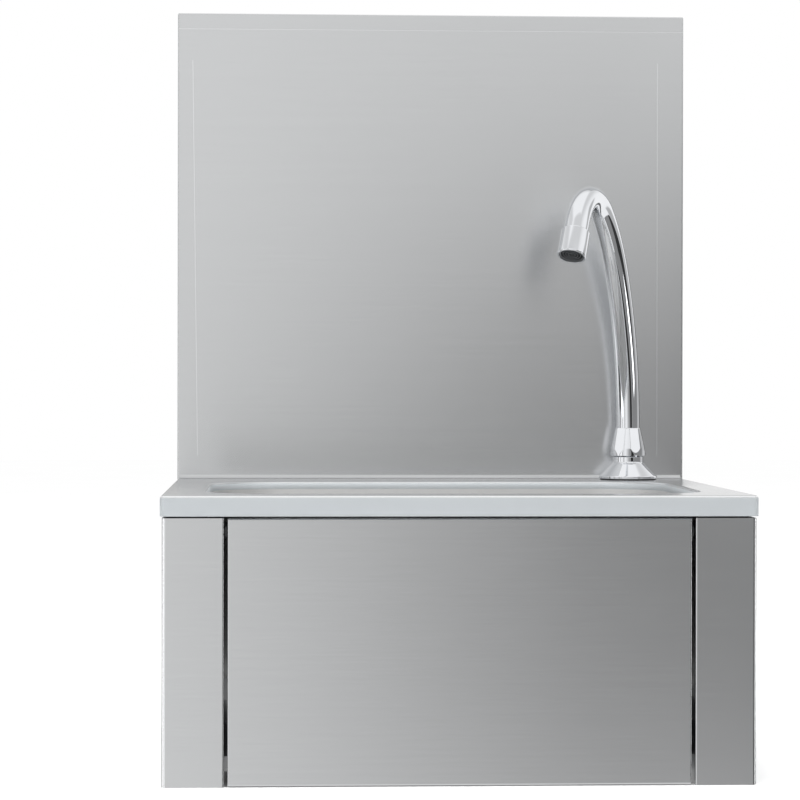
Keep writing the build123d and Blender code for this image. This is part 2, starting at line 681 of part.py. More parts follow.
with BuildPart() as shank_washer:
    turn(tap_axis, [(10.6, -4), (18, -4), (18, -sheet), (10.6, -sheet)])

shank_washer.part.label = "shank_washer"
export_step(shank_washer.part, "parts/shank_washer.step")

with BuildPart() as shank_nut:
    hexagon(Plane(origin=(tap_x, tap_y, deck_z - 12)), 30, 8, shank_radius + 0.05)

shank_nut.part.label = "shank_nut"
export_step(shank_nut.part, "parts/shank_nut.step")

# the spout's centreline lies in an upright plane through the tap's axis
azimuth = math.radians(spout_azimuth)
reach_dir = Vector(-math.sin(azimuth), -math.cos(azimuth), 0)
spout_plane = Plane(origin=(tap_x, tap_y, deck_z), x_dir=reach_dir, z_dir=reach_dir.cross(Vector(0, 0, 1)))

heading = math.pi / 2
here = (0.0, spout_straight)
spout_arcs = []
for radius, degrees in spout_bends:
    centre = (here[0] + radius * math.sin(heading), here[1] - radius * math.cos(heading))
    stops = [here]
    for part_turn in (0.5, 1.0):
        angle = heading - math.radians(degrees) * part_turn
        stops.append((centre[0] - radius * math.sin(angle), centre[1] + radius * math.cos(angle)))
    spout_arcs.append(stops)
    heading -= math.radians(degrees)
    here = stops[-1]
outlet_reach = here[0] + outlet_straight * math.cos(heading)
outlet_height = here[1] + outlet_straight * math.sin(heading)
tube_stop = (outlet_reach - tube_end * math.cos(heading), outlet_height - tube_end * math.sin(heading))
outlet_point = spout_plane.from_local_coords(Vector(outlet_reach, outlet_height, 0))
outlet_dir = reach_dir * math.cos(heading) + Vector(0, 0, 1) * math.sin(heading)
print("outlet", [round(v, 1) for v in outlet_point], "direction", [round(v, 3) for v in outlet_dir])

with BuildPart() as spout_tube:
    with BuildLine(spout_plane) as spout_line:
        Line((0, tube_bottom), (0, spout_straight))
        for start, middle, end in spout_arcs:
            ThreePointArc(start, middle, end)
        Line(here, tube_stop)
    with BuildSketch(Plane(origin=(tap_x, tap_y, deck_z + tube_bottom))):
        Circle(tube_radius)
        Circle(tube_bore, mode=Mode.SUBTRACT)
    sweep(path=spout_line.wire())

spout_tube.part.label = "spout_tube"
export_step(spout_tube.part, "parts/spout_tube.step")

groove = 5.7
plug_radius = 7.0
with BuildPart() as spout_plug:
    turn(tap_axis,
         [(shank_bore, 19.5), (plug_radius, 19.5), (plug_radius, 21), (groove, 21), (groove, 22.8),
          (plug_radius, 22.8), (plug_radius, 24.5), (groove, 24.5), (groove, 26.3), (plug_radius, 26.3),
          (plug_radius, 29), (9.3, 29), (9.3, tube_bottom), (tube_bore, tube_bottom),
          (tube_bore, tube_bottom + 1), (shank_bore, tube_bottom + 1)])

spout_plug.part.label = "spout_plug"
export_step(spout_plug.part, "parts/spout_plug.step")

with BuildPart() as spout_rings:
    ring_radius = 0.68
    for ring_height in (21.9, 25.4):
        with Locations((tap_x, tap_y, deck_z + ring_height)):
            Torus(groove + ring_radius, ring_radius)

spout_rings.part.label = "spout_rings"
export_step(spout_rings.part, "parts/spout_rings.step")

outlet_axis = along(outlet_point, outlet_dir)
with BuildPart() as aerator_housing:
    turn(outlet_axis,
         [(tube_radius, -aerator_length), (aerator_radius - 0.4, -aerator_length),
          (aerator_radius, -aerator_length + 0.4), (aerator_radius, -0.9), (aerator_radius - 0.5, 0),
          (9.2, 0), (9.2, -5.8), (tube_radius, -5.8)])

aerator_housing.part.label = "aerator_housing"
export_step(aerator_housing.part, "parts/aerator_housing.step")

with BuildPart() as aerator_insert:
    turn(outlet_axis, [(0, -5.2), (9.1, -5.2), (9.1, -1.2), (8.4, -1.2), (8.4, -2.2), (0, -2.2)])
    for ring in (2.4, 4.4, 6.4):
        turn(outlet_axis, [(ring - 0.35, -2.3), (ring + 0.35, -2.3), (ring + 0.35, -1.4),
                           (ring - 0.35, -1.4)])

aerator_insert.part.label = "aerator_insert"
export_step(aerator_insert.part, "parts/aerator_insert.step")

with BuildPart() as aerator_gasket:
    turn(outlet_axis, [(7.2, -6.45), (8.9, -6.45), (8.9, -5.25), (7.2, -5.25)])

aerator_gasket.part.label = "aerator_gasket"
export_step(aerator_gasket.part, "parts/aerator_gasket.step")

# ================= waste =================
waste_axis = along((*waste_xy, 0), (0, 0, 1))
recess_z = bowl_floor_z - recess_depth
bowl_underside_z = recess_z - sheet
gasket_bore = waste_hole_radius + 1
strainer_gasket_top_z = recess_z + 0.6

with BuildPart() as strainer_gasket:
    turn(waste_axis, [(gasket_bore, recess_z), (35, recess_z), (35, strainer_gasket_top_z),
                      (gasket_bore, strainer_gasket_top_z)])

strainer_gasket.part.label = "strainer_gasket"
export_step(strainer_gasket.part, "parts/strainer_gasket.step")

with BuildPart() as waste_strainer:
    turn(waste_axis,
         [(0, strainer_floor_z), (20.5, strainer_floor_z), (22.4, strainer_floor_z + 2),
          (22.4, strainer_gasket_top_z), (strainer_flange_radius, strainer_gasket_top_z),
          (strainer_flange_radius, recess_z + 1.2), (strainer_flange_radius - 0.6, recess_z + 1.7),
          (23, recess_z + 1.7), (strainer_pocket_radius, recess_z + 0.4), (strainer_pocket_radius, 52.5),
          (20, strainer_floor_z + 1.2), (0, strainer_floor_z + 1.2)])
    with Locations((*waste_xy, strainer_floor_z)):
        Cylinder(3.2, 6, mode=Mode.SUBTRACT)
        for ring, holes in strainer_holes:
            with PolarLocations(ring, holes):
                Cylinder(strainer_hole_radius, 6, mode=Mode.SUBTRACT)

waste_strainer.part.label = "waste_strainer"
export_step(waste_strainer.part, "parts/waste_strainer.step")

with BuildPart() as strainer_screw:
    turn(waste_axis,
         [(0, 36), (2.6, 36), (3, 36.6), (3, 51.3), (5.4, 51.3), (5.4, 52.4), (4.6, 53.4), (0, 53.8)])
    block((-0.5, 0.5), (bowl_centre_y - 6, bowl_centre_y + 6), (52.9, 54), mode=Mode.SUBTRACT)

strainer_screw.part.label = "strainer_screw"
export_step(strainer_screw.part, "parts/strainer_screw.step")

flange_z = bowl_underside_z - gasket_thickness
with BuildPart() as waste_gasket:
    turn(waste_axis, [(gasket_bore, flange_z), (waste_flange_radius, flange_z),
                      (waste_flange_radius, bowl_underside_z), (gasket_bore, bowl_underside_z)])

waste_gasket.part.label = "waste_gasket"
export_step(waste_gasket.part, "parts/waste_gasket.step")

with BuildPart() as waste_body:
    turn(waste_axis,
         [(waste_outlet_bore, waste_outlet_bottom_z), (waste_outlet_radius, waste_outlet_bottom_z),
          (waste_outlet_radius, waste_outlet_top_z), (24, waste_outlet_top_z), (26, waste_outlet_top_z + 2),
          (26, flange_z - 6), (waste_flange_radius, flange_z - 3.5), (waste_flange_radius, flange_z),
          (23.2, flange_z), (23.2, 40), (waste_outlet_bore, 32)])
    # bridge that the strainer screw pulls against
    with BuildSketch(Plane(origin=(*waste_xy, bridge_z[0]))):
        Rectangle(47, 6)
        Circle(6)
        Circle(3.05, mode=Mode.SUBTRACT)
    extrude(amount=bridge_z[1] - bridge_z[0])

waste_body.part.label = "waste_body"
export_step(waste_body.part, "parts/waste_body.step")
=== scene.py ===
import math

import bmesh
import bpy
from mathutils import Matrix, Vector


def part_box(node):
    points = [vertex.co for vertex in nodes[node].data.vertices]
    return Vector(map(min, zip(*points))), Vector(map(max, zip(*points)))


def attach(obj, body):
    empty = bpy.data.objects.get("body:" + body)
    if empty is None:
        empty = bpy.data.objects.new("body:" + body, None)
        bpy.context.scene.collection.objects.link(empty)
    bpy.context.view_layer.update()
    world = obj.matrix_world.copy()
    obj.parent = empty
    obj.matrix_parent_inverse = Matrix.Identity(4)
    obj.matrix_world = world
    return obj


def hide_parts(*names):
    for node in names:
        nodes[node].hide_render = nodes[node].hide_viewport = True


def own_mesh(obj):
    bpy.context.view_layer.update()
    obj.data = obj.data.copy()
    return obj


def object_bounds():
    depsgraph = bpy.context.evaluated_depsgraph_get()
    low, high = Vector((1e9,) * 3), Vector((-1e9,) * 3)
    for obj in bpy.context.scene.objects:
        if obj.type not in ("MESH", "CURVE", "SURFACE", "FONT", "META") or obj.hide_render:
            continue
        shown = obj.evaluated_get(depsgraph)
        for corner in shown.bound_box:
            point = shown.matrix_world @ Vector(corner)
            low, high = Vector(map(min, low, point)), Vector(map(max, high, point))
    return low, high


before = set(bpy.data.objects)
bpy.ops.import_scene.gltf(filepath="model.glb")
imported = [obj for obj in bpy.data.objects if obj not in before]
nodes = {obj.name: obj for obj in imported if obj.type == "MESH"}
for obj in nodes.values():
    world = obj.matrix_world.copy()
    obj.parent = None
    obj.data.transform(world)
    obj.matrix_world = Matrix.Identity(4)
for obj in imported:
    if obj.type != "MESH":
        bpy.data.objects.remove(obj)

# Looks for a knee-operated hand-wash sink: brushed sheet, chrome tap, fittings inside the cabinet.
# Metres. +Z up, the user stands at -Y.
cad_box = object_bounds()
MM = 0.001
UP = Vector((0, 0, 1))


# ---------------------------------------------------------------- places taken from the frame
def middle(node_name):
    low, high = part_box(node_name)
    return (low + high) / 2


DECK_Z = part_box("base_gasket")[0].z
TAP_FOOT = Vector((middle("base_gasket").x, middle("base_gasket").y, DECK_Z))
SPLASH_THICKNESS = 2.6 * MM
SPLASH_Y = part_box("back_panel")[1].y - SPLASH_THICKNESS  # front face of the splashback
post_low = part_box("left_side_panel")[0]
POST_SIDE, POST_FRONT = abs(post_low.x), post_low.y  # outer faces of the cabinet's front posts


# ---------------------------------------------------------------- camera
CAMERA_LENS_MM, CAMERA_SENSOR_MM = 121.5, 36.0
CAMERA_PLACE = (-0.1262, -1.9626, 0.2652)
CAMERA_TURN_DEGREES = (89.752, -0.09, -2.728)


def add_camera():
    data = bpy.data.cameras.new("camera")
    data.lens = CAMERA_LENS_MM
    data.sensor_width = CAMERA_SENSOR_MM
    camera = bpy.data.objects.new("camera", data)
    camera.location = CAMERA_PLACE
    camera.rotation_euler = [math.radians(angle) for angle in CAMERA_TURN_DEGREES]
    bpy.context.scene.collection.objects.link(camera)
    bpy.context.scene.camera = camera


add_camera()


# ---------------------------------------------------------------- the spout's centreline
# A straight foot and three arcs that meet smoothly, in an upright plane through the tap's axis.
# Millimetres above the deck, and out from the tap's axis.
SPOUT_TURN = math.radians(25)  # left of straight forward
REACH = Vector((-math.sin(SPOUT_TURN), -math.cos(SPOUT_TURN), 0))
SPOUT_START, SPOUT_STRAIGHT = 31.4, 41.5
SPOUT_BENDS = ((251.5, 29.0), (135.0, 24.5), (38.5, 99.5))  # radius and degrees of each arc
OUTLET_STRAIGHT = 27.8
TUBE_SHORT = 6.5  # the tube stops this far short of the outlet, inside the aerator housing
SPOUT_STEP = 1.6
TUBE_RADIUS, TUBE_BORE = 9.0 * MM, 8.0 * MM


def spout_line(step_mm):
    """Places and directions along the spout's centreline, in metres, and the outlet's place."""
    places, headings = [], []

    def put(reach, height, heading):
        places.append(TAP_FOOT + REACH * (reach * MM) + UP * (height * MM))
        headings.append(REACH * math.cos(heading) + UP * math.sin(heading))

    heading = math.pi / 2
    reach = 0.0
    count = math.ceil((SPOUT_STRAIGHT - SPOUT_START) / step_mm)
    for i in range(count):
        put(reach, SPOUT_START + (SPOUT_STRAIGHT - SPOUT_START) * i / count, heading)
    height = SPOUT_STRAIGHT
    for radius, degrees in SPOUT_BENDS:
        centre = (reach + radius * math.sin(heading), height - radius * math.cos(heading))
        sweep = math.radians(degrees)
        count = math.ceil(radius * sweep / step_mm)
        for i in range(count):
            angle = heading - sweep * i / count
            put(centre[0] - radius * math.sin(angle), centre[1] + radius * math.cos(angle), angle)
        heading -= sweep
        reach = centre[0] - radius * math.sin(heading)
        height = centre[1] + radius * math.cos(heading)
    tail = OUTLET_STRAIGHT - TUBE_SHORT
    count = math.ceil(tail / step_mm)
    for i in range(count + 1):
        run = tail * i / count
        put(reach + run * math.cos(heading), height + run * math.sin(heading), heading)
    outlet = places[-1] + headings[-1] * (TUBE_SHORT * MM)
    return places, headings, outlet


spout_places, spout_headings, OUTLET = spout_line(SPOUT_STEP)
OUTLET_RUN = spout_headings[-1]


# ---------------------------------------------------------------- shader helpers
def new_material(name):
    material = bpy.data.materials.new(name)
    material.use_nodes = True
    tree = material.node_tree
    return material, tree, tree.nodes["Principled BSDF"]


def coordinates(tree, scale=(1, 1, 1)):
    """Object coordinates in metres, stretched by a different amount on each axis."""
    source = tree.nodes.new("ShaderNodeTexCoord")
    mapping = tree.nodes.new("ShaderNodeMapping")
    mapping.inputs["Scale"].default_value = scale
    tree.links.new(source.outputs["Object"], mapping.inputs["Vector"])
    return mapping.outputs["Vector"]


def axis_values(tree):
    """Object coordinates in metres, one socket for each axis."""
    split = tree.nodes.new("ShaderNodeSeparateXYZ")
    tree.links.new(coordinates(tree), split.inputs["Vector"])
    return split.outputs


def math_node(tree, operation, first, second=None):
    """One or two values put through a sum, each a number or a socket."""
    node = tree.nodes.new("ShaderNodeMath")
    node.operation = operation
    for socket, value in zip(node.inputs, (first, second)):
        if value is None:
            continue
        if isinstance(value, (int, float)):
            socket.default_value = value
        else:
            tree.links.new(value, socket)
    return node.outputs["Value"]


def vector_node(tree, operation, first, second, output):
    """A vector operation between a socket and a fixed vector."""
    node = tree.nodes.new("ShaderNodeVectorMath")
    node.operation = operation
    tree.links.new(first, node.inputs[0])
    node.inputs[1].default_value = second
    return node.outputs[output]


def noise(tree, scale, detail=2.0, roughness=0.5):
    """Noise over object coordinates, its scale one number or three: a value that keeps near 0.5."""
    scales = (scale, scale, scale) if isinstance(scale, float) else scale
    texture = tree.nodes.new("ShaderNodeTexNoise")
    texture.inputs["Scale"].default_value = 1.0
    texture.inputs["Detail"].default_value = detail
    texture.inputs["Roughness"].default_value = roughness
    tree.links.new(coordinates(tree, scales), texture.inputs["Vector"])
    return texture.outputs["Fac"]


def ranged(tree, value, from_low, from_high, to_low, to_high):
    node = tree.nodes.new("ShaderNodeMapRange")
    numbers = {"From Min": from_low, "From Max": from_high, "To Min": to_low, "To Max": to_high}
    for key, number in numbers.items():
        node.inputs[key].default_value = number
    tree.links.new(value, node.inputs["Value"])
    return node.outputs["Result"]


def rising(tree, value, place, edge):
    """0 before an edge near a place and 1 after it."""
    return ranged(tree, value, place + edge[0], place + edge[1], 0, 1)


def falling(tree, value, place, edge):
    """1 before an edge near a place and 0 after it."""
    return ranged(tree, value, place + edge[0], place + edge[1], 1, 0)


def smooth_step(tree, value, start, end):
    node = tree.nodes.new("ShaderNodeMapRange")
    node.interpolation_type = "SMOOTHSTEP"
    node.inputs["From Min"].default_value = start
    node.inputs["From Max"].default_value = end
    tree.links.new(value, node.inputs["Value"])
    return node.outputs["Result"]


NOISE_LOW, NOISE_HIGH = 0.3, 0.7  # where most of a noise's values lie


def spread(tree, value, low, high):
    """A noise value's usual range spread between low and high."""
    return ranged(tree, value, NOISE_LOW, NOISE_HIGH, low, high)


def mixed(tree, factor, first, second):
    """A colour between two, each a colour or a socket."""
    node = tree.nodes.new("ShaderNodeMix")
    node.data_type = "RGBA"
    tree.links.new(factor, node.inputs["Factor"])
    for key, value in (("A", first), ("B", second)):
        socket = [s for s in node.inputs if s.name == key and s.type == "RGBA"][0]
        if isinstance(value, (tuple, list)):
            socket.default_value = (*value, 1)
        else:
            tree.links.new(value, socket)
    return [s for s in node.outputs if s.type == "RGBA"][0]


def scaled(colour, factor):
    return tuple(min(1.0, c * factor) for c in colour)


def bump(tree, shader, height, strength, distance):
    node = tree.nodes.new("ShaderNodeBump")
    node.inputs["Strength"].default_value = strength
    node.inputs["Distance"].default_value = distance
    tree.links.new(height, node.inputs["Height"])
    tree.links.new(node.outputs["Normal"], shader.inputs["Normal"])


# ---------------------------------------------------------------- materials
# noise scales per metre, across the grain of brushed sheet and along it
SCRATCHES_ACROSS, SCRATCHES_ALONG = 3400.0, 40.0
STREAKS_ACROSS, STREAKS_ALONG = 420.0, 4.0
WIPED_SCALE = 9.0
SCRATCH_SHARE, STREAK_SHARE = 0.7, 0.3
QUARTER_TURN = 0.25  # of the tangent, so that gloss stretches across the grain

STEEL_TINT = (0.628, 0.636, 0.643)
BOWL_TINT = (0.83, 0.83, 0.825)
LIP_TINTS = (0.478, 0.505, 0.522), (0.49, 0.517, 0.535)
LIP_EXTRA_ROUGHNESS, LIP_METALLIC = 0.45, 0.35
# painted highlight: near-white colour for the lip's rounded top edge
EDGE_HIGHLIGHT_TINT = (0.95, 0.96, 0.97)
# painted highlight: near-white colour down the posts' folded front corners
CORNER_HIGHLIGHT_TINT = (0.93, 0.94, 0.95)
# painted highlight: the splashback's fold-line grooves are painted paler than the sheet
SCORE_HIGHLIGHT_PALER = 1.18

# where the soft edges of each mask start and end
LIP_END = (-1.8 * MM, -1.4 * MM)  # above the deck
LIP_EDGE_START = (-1.6 * MM, -1.2 * MM)
LIP_EDGE_END = (-0.6 * MM, -0.3 * MM)
SCORE_START = (0.08 * MM, 0.16 * MM)  # behind the splashback's front face
SCORE_END = (0.4 * MM, 0.5 * MM)
CORNER_START = (-2.6 * MM, -2.0 * MM)  # from the post's outer side
CORNER_END = (1.2 * MM, 1.8 * MM)  # behind the post's front


def grain_scales(along, across_scale, along_scale):
    return [along_scale if axis in along else across_scale for axis in "XYZ"]


def worktop_finish_and_highlights(tree, shader, marks, colour, rough):
    """The lip's finer, paler satin with a painted highlight along its top edge, and a painted highlight
    in the splashback's pressed fold lines.
    """
    place = axis_values(tree)
    on_lip = falling(tree, place["Z"], DECK_Z, LIP_END)
    edge_highlight_mask = math_node(tree, "MULTIPLY", rising(tree, place["Z"], DECK_Z, LIP_EDGE_START),
                        falling(tree, place["Z"], DECK_Z, LIP_EDGE_END))
    score_highlight_mask = math_node(tree, "MULTIPLY", rising(tree, place["Y"], SPLASH_Y, SCORE_START),
                         falling(tree, place["Y"], SPLASH_Y, SCORE_END))
    colour = mixed(tree, on_lip, colour, mixed(tree, spread(tree, marks, 0, 1), *LIP_TINTS))
    # painted highlight along the lip's rounded top edge
    colour = mixed(tree, edge_highlight_mask, colour, EDGE_HIGHLIGHT_TINT)
    # painted highlight in the splashback's fold lines
    colour = mixed(tree, score_highlight_mask, colour, scaled(STEEL_TINT, SCORE_HIGHLIGHT_PALER))
    rough = math_node(tree, "ADD", rough, math_node(tree, "MULTIPLY", on_lip, LIP_EXTRA_ROUGHNESS))
    tree.links.new(ranged(tree, on_lip, 0, 1, 1.0, LIP_METALLIC), shader.inputs["Metallic"])
    return colour, rough


def post_painted_highlight(tree, colour):
    """The folded front corner, with a painted highlight down it."""
    place = axis_values(tree)
    outwards = math_node(tree, "ABSOLUTE", place["X"])
    corner_highlight_mask = math_node(tree, "MULTIPLY", rising(tree, outwards, POST_SIDE, CORNER_START),
                          falling(tree, place["Y"], POST_FRONT, CORNER_END))
    return mixed(tree, corner_highlight_mask, colour, CORNER_HIGHLIGHT_TINT)


def brushed_steel(name, along, tint=STEEL_TINT, roughness=0.22, anisotropy=0.7, part=None):
    """Satin sheet with its grain along the axes named: fine scratches, soft bands and wiped marks."""
    material, tree, shader = new_material(name)
    scratches = noise(tree, grain_scales(along, SCRATCHES_ACROSS, SCRATCHES_ALONG), roughness=0.6)
    streaks = noise(tree, grain_scales(along, STREAKS_ACROSS, STREAKS_ALONG))
    wiped = noise(tree, WIPED_SCALE, detail=3.0, roughness=0.6)
    marks = math_node(tree, "ADD", math_node(tree, "MULTIPLY", scratches, SCRATCH_SHARE),
                      math_node(tree, "MULTIPLY", streaks, STREAK_SHARE))
    colour = mixed(tree, spread(tree, marks, 0, 1), scaled(tint, 0.98), scaled(tint, 1.02))
    rough = math_node(tree, "MULTIPLY", spread(tree, marks, roughness * 0.965, roughness * 1.035),
                      spread(tree, wiped, 0.95, 1.06))
    if part == "worktop":
        colour, rough = worktop_finish_and_highlights(tree, shader, marks, colour, rough)
    else:
        shader.inputs["Metallic"].default_value = 1.0
    # painted highlight down the posts' front corners
    if part == "post":
        colour = post_painted_highlight(tree, colour)
    tree.links.new(colour, shader.inputs["Base Color"])
    tree.links.new(rough, shader.inputs["Roughness"])
    shader.inputs["Anisotropic"].default_value = anisotropy
    shader.inputs["Anisotropic Rotation"].default_value = QUARTER_TURN
    tangent = tree.nodes.new("ShaderNodeTangent")
    tangent.direction_type = "RADIAL"
    tangent.axis = "Z"
    tree.links.new(tangent.outputs["Tangent"], shader.inputs["Tangent"])
    bump(tree, shader, scratches, strength=0.05, distance=0.03 * MM)
    return material


def polished(name, tint, roughness):
    """Plated or polished metal: near mirror, with the faint haze of handling and water marks."""
    material, tree, shader = new_material(name)
    haze = noise(tree, 55.0, detail=4.0)
    specks = noise(tree, 420.0, detail=1.0)
    blend = math_node(tree, "MULTIPLY", spread(tree, haze, 0.7, 1.35), spread(tree, specks, 0.85, 1.2))
    tree.links.new(math_node(tree, "MULTIPLY", blend, roughness), shader.inputs["Roughness"])
    tree.links.new(mixed(tree, spread(tree, haze, 0, 1), scaled(tint, 0.97), tint),
                   shader.inputs["Base Color"])
    shader.inputs["Metallic"].default_value = 1.0
    return material


def turned_metal(name, tint, roughness, tarnish=0.75):
    """Machined metal with fine tool marks and slight tarnish."""
    material, tree, shader = new_material(name)
    stain = noise(tree, 160.0, detail=4.0)
    tool = noise(tree, 2600.0)
    tree.links.new(mixed(tree, spread(tree, stain, 0, 1), scaled(tint, tarnish), tint),
                   shader.inputs["Base Color"])
    tree.links.new(spread(tree, stain, roughness * 1.3, roughness * 0.85), shader.inputs["Roughness"])
    shader.inputs["Metallic"].default_value = 1.0
    bump(tree, shader, tool, strength=0.12, distance=0.05 * MM)
    return material


def moulded(name, tint, roughness):
    """Plastic or rubber with a fine moulded grain."""
    material, tree, shader = new_material(name)
    mottle = noise(tree, 90.0, detail=3.0)
    skin = noise(tree, 1500.0)
    tree.links.new(mixed(tree, spread(tree, mottle, 0, 1), scaled(tint, 0.86), tint),
                   shader.inputs["Base Color"])
    tree.links.new(spread(tree, mottle, roughness * 0.9, roughness * 1.12), shader.inputs["Roughness"])
    bump(tree, shader, skin, strength=0.2, distance=0.08 * MM)
    return material


# painted shade: near black for the grooves between the rings, paler for the lit crests
GROOVE_SHADE_TINT, CREST_LIT_TINT = (0.004, 0.004, 0.005), (0.11, 0.115, 0.12)
CREST_START = (-2.0 * MM, -1.6 * MM)  # along the outlet's axis, from its end


def ringed_plastic(name):
    """Black plastic with painted shade in the grooves between the rings and paler crests."""
    material, tree, shader = new_material(name)
    mottle = noise(tree, 400.0)
    apart = vector_node(tree, "SUBTRACT", coordinates(tree), OUTLET, "Vector")
    along = vector_node(tree, "DOT_PRODUCT", apart, OUTLET_RUN, "Value")
    # painted shade in the grooves, paler on the ring crests
    crest_lit_mask = math_node(tree, "MULTIPLY", rising(tree, along, 0.0, CREST_START),
                       spread(tree, mottle, 0.8, 1.0))
    tree.links.new(mixed(tree, crest_lit_mask, GROOVE_SHADE_TINT, CREST_LIT_TINT), shader.inputs["Base Color"])
    shader.inputs["Roughness"].default_value = 0.35
    shader.inputs["Specular IOR Level"].default_value = 0.2
    return material


BRAID_SCALE = 720.0
WIRE_EDGE, WIRE_CREST = 0.02, 0.22  # distance from a cell's edge, as a share of the cell


def braid(name):
    """Woven steel braid: small bright cells with dark crossings between them."""
    material, tree, shader = new_material(name)
    cells = tree.nodes.new("ShaderNodeTexVoronoi")
    cells.feature = "DISTANCE_TO_EDGE"
    cells.inputs["Scale"].default_value = 1.0
    tree.links.new(coordinates(tree, (BRAID_SCALE, BRAID_SCALE, BRAID_SCALE)), cells.inputs["Vector"])
    wire = ranged(tree, cells.outputs["Distance"], WIRE_EDGE, WIRE_CREST, 0, 1)
    tree.links.new(mixed(tree, wire, (0.10, 0.10, 0.105), (0.66, 0.665, 0.67)),
                   shader.inputs["Base Color"])
    tree.links.new(ranged(tree, wire, 0, 1, 0.5, 0.26), shader.inputs["Roughness"])
    shader.inputs["Metallic"].default_value = 1.0
    bump(tree, shader, wire, strength=0.6, distance=0.3 * MM)
    return material


steel_top = brushed_steel("steel_top_grain_across", "X", part="worktop")
steel_x = brushed_steel("steel_grain_across", "X")
steel_y = brushed_steel("steel_grain_deep", "Y")
steel_round = brushed_steel("steel_grain_round", "XY", part="post")
drawn_steel = brushed_steel("steel_drawn_bowl", "X", tint=BOWL_TINT, roughness=0.46, anisotropy=0.15)
chrome = polished("chrome_plate", (0.84, 0.855, 0.88), 0.03)
brass = turned_metal("machined_brass", (0.76, 0.57, 0.28), 0.24)
dark_steel = turned_metal("blackened_steel", (0.10, 0.10, 0.105), 0.42)
zinc = turned_metal("bright_zinc", (0.62, 0.63, 0.65), 0.22, tarnish=0.85)
steel_braid = braid("steel_braid")
rubber = moulded("black_rubber", (0.028, 0.028, 0.03), 0.62)
nylon = moulded("natural_nylon", (0.82, 0.80, 0.74), 0.42)
black_plastic = moulded("black_plastic", (0.024, 0.025, 0.028), 0.33)
aerator_plastic = ringed_plastic("ringed_aerator_plastic")
white_plastic = moulded("white_plastic", (0.80, 0.80, 0.78), 0.38)

nodes_by_material = (
    (steel_top, ("worktop",)),
    (drawn_steel, ("bowl",)),
    (steel_round, ("left_side_panel", "right_side_panel")),
    (steel_x, ("back_panel", "front_deck_rail", "valve_bracket", "waste_strainer", "knee_panel")),
    (steel_y, ("left_deck_rail", "right_deck_rail")),
    (dark_steel, ("hinge_pins", "knee_crossbar")),
    (zinc, ("hinge_clips", "bracket_screws", "hose_ferrules", "hose_nuts", "shank_washer",
            "strainer_screw")),
    (brass, ("valve_body", "valve_lock_nut", "valve_bonnet", "shank_nut", "valve_plunger",
             "spout_plug")),
    (steel_braid, ("supply_hose",)),
    (rubber, ("stop_bumpers", "base_gasket", "strainer_gasket", "waste_gasket", "plunger_rings",
              "spout_rings", "aerator_gasket")),
    (white_plastic, ("waste_body",)),
    (nylon, ("push_pad",)),
    (black_plastic, ("hinge_bushes",)),
)
for material, node_names in nodes_by_material:
    for node_name in node_names:
        mesh = nodes[node_name].data
        mesh.materials.clear()
        mesh.materials.append(material)


# ---------------------------------------------------------------- mesh helpers
SHARP_ANGLE = math.radians(38)
WELD_DISTANCE = 1e-7


def mesh_piece(name, verts, faces, material, body, replaces=None):
    """A new piece from its points and faces, smooth, riding on a body."""
    mesh = bpy.data.meshes.new(name)
    mesh.from_pydata([tuple(v) for v in verts], [], faces)
    work = bmesh.new()
    work.from_mesh(mesh)
    bmesh.ops.remove_doubles(work, verts=work.verts, dist=WELD_DISTANCE)
    bmesh.ops.recalc_face_normals(work, faces=work.faces)
    work.to_mesh(mesh)
    work.free()
    mesh.materials.append(material)
    piece = bpy.data.objects.new(name, mesh)
    bpy.context.scene.collection.objects.link(piece)
    mesh.shade_smooth()
    mesh.set_sharp_from_angle(angle=SHARP_ANGLE)
    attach(piece, body)
    if replaces:
        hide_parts(replaces)
    return piece


def rounded(outline, radii, steps=5):
    """A closed outline of (r, h) points in millimetres with its corners rounded to the radii given."""
    points = []
    count = len(outline)
    for index, (corner, radius) in enumerate(zip(outline, radii)):
        corner = Vector(corner)
        if radius == 0:
            points.append(corner)
            continue
        before = (Vector(outline[index - 1]) - corner)
        after = (Vector(outline[(index + 1) % count]) - corner)
        reach = min(radius, before.length * 0.48, after.length * 0.48)  # short of the side's middle
        start = corner + before.normalized() * reach
        end = corner + after.normalized() * reach
        for step in range(steps + 1):
            t = step / steps
            points.append(start * (1 - t) ** 2 + corner * 2 * t * (1 - t) + end * t ** 2)
    return points


def axis_frame(direction):
    direction = Vector(direction).normalized()
    helper = Vector((1, 0, 0)) if abs(direction.x) < 0.9 else Vector((0, 1, 0))
    across = (helper - direction * helper.dot(direction)).normalized()
    return across, direction.cross(across), direction


def lathe(name, outline, origin, direction, material, body, replaces, segments, shape=None):
    """Turn a closed outline of (r, h) millimetre points; shape(r, h, angle) may change the radius."""
    across, sideways, run = axis_frame(direction)
    verts = []
    for step in range(segments):
        angle = 2 * math.pi * step / segments
        spoke = across * math.cos(angle) + sideways * math.sin(angle)
        for r, h in outline:
            radius = shape(r, h, angle) if shape else r
            verts.append(Vector(origin) + spoke * (radius * MM) + run * (h * MM))
    rows = len(outline)
    faces = []
    for step in range(segments):
        here, there = step * rows, (step + 1) % segments * rows
        for row in range(rows):
            after = (row + 1) % rows
            faces.append((here + row, there + row, there + after, here + after))
    return mesh_piece(name, verts, faces, material, body, replaces)


def tube_rings(centres, directions, radius, segments, start_across):
    """Rings of points round a line, carried along it without twist."""
    across = start_across
    rings = []
    for centre, run in zip(centres, directions):
        across = (across - run * across.dot(run)).normalized()
        sideways = run.cross(across)
        rings.append([centre + (across * math.cos(2 * math.pi * i / segments)
                                + sideways * math.sin(2 * math.pi * i / segments)) * radius
                      for i in range(segments)])
    return rings


def ring_faces(rings_count, segments, first=0, flip=False):
    faces = []
    for ring in range(rings_count - 1):
        for i in range(segments):
            j = (i + 1) % segments
            a, b = first + ring * segments, first + (ring + 1) * segments
            face = (a + i, a + j, b + j, b + i)
            faces.append(face[::-1] if flip else face)
    return faces


